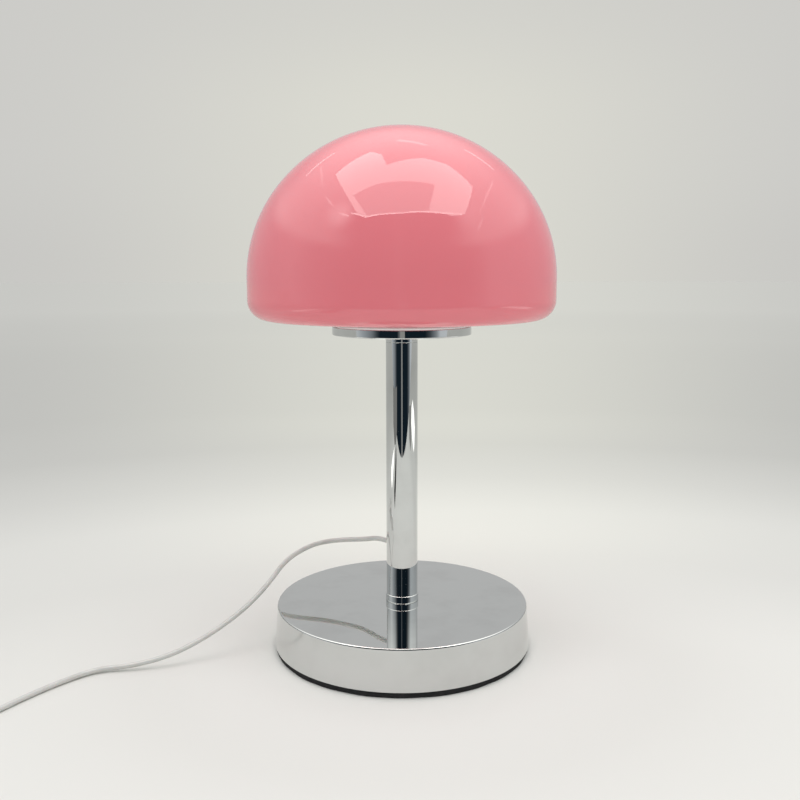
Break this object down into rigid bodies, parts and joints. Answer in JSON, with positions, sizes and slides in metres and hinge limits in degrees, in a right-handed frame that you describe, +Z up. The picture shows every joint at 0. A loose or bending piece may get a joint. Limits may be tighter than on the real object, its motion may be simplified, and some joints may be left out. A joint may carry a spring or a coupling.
{
  "type": "table lamp",
  "caption": "Table lamp with an opal glass dome on a chromed column and a weighted round base, fed by a thin cord with an in-line push switch and a flat plug.",
  "frame": {"origin": "centre of the base pad's underside, on the table", "axes": "+Z up along the column; -Y towards the viewer of the picture, +X to its right"},
  "size_m": [0.4255, 0.2038, 0.3102],
  "materials": {
    "foam": "matt",
    "chrome": "polished",
    "iron": "rough",
    "zinc_steel": "satin",
    "steel_tube": "polished",
    "aluminium": "satin",
    "brass": "turned",
    "board": "matt",
    "chip": "satin",
    "diffuser": "satin",
    "spring": "bright",
    "silicone": "soft",
    "opal_pink": "polished",
    "cord": "satin",
    "white_plastic": "satin",
    "green_board": "satin",
    "black_plastic": "matt",
    "gold": "bright"
  },
  "bodies": {
    "lamp": {"base_pad": "foam", "base_shell": "chrome", "base_weight": "iron", "base_washer": "zinc_steel", "base_lock_washer": "zinc_steel", "base_bolt": "zinc_steel", "foot_plug": "chrome", "head_plug": "chrome", "pole_tube": "steel_tube", "head_nipple": "zinc_steel", "tray_washer": "zinc_steel", "tray_nut": "zinc_steel", "shade_tray": "chrome", "light_cup": "aluminium", "board_posts": "brass", "light_board": "board", "light_chips": "chip", "board_screws": "zinc_steel", "light_diffuser": "diffuser", "shade_clips": "spring", "shade_gasket": "silicone", "glass_shade": "opal_pink", "cord_grommet": "silicone", "inner_cord": "cord", "cord_run": "cord", "cord_link": "cord", "cord_coil": "cord", "cord_tail": "cord", "switch_leads": "cord", "switch_base": "white_plastic", "switch_cover": "white_plastic", "switch_board": "green_board", "tact_body": "black_plastic", "switch_screws": "zinc_steel", "plug_body": "white_plastic", "plug_shell": "zinc_steel", "plug_tongue": "white_plastic", "plug_contacts": "gold"},
    "button": {"switch_button": "white_plastic", "tact_plunger": "black_plastic"}
  },
  "joints": [
    {"name": "button_push", "type": "slide", "parent": "lamp", "child": "button", "axis": [0, 0, -1], "range_m": [0, 0.001], "stiffness_N_per_m": 400, "springref_m": -0.001}
  ]
}
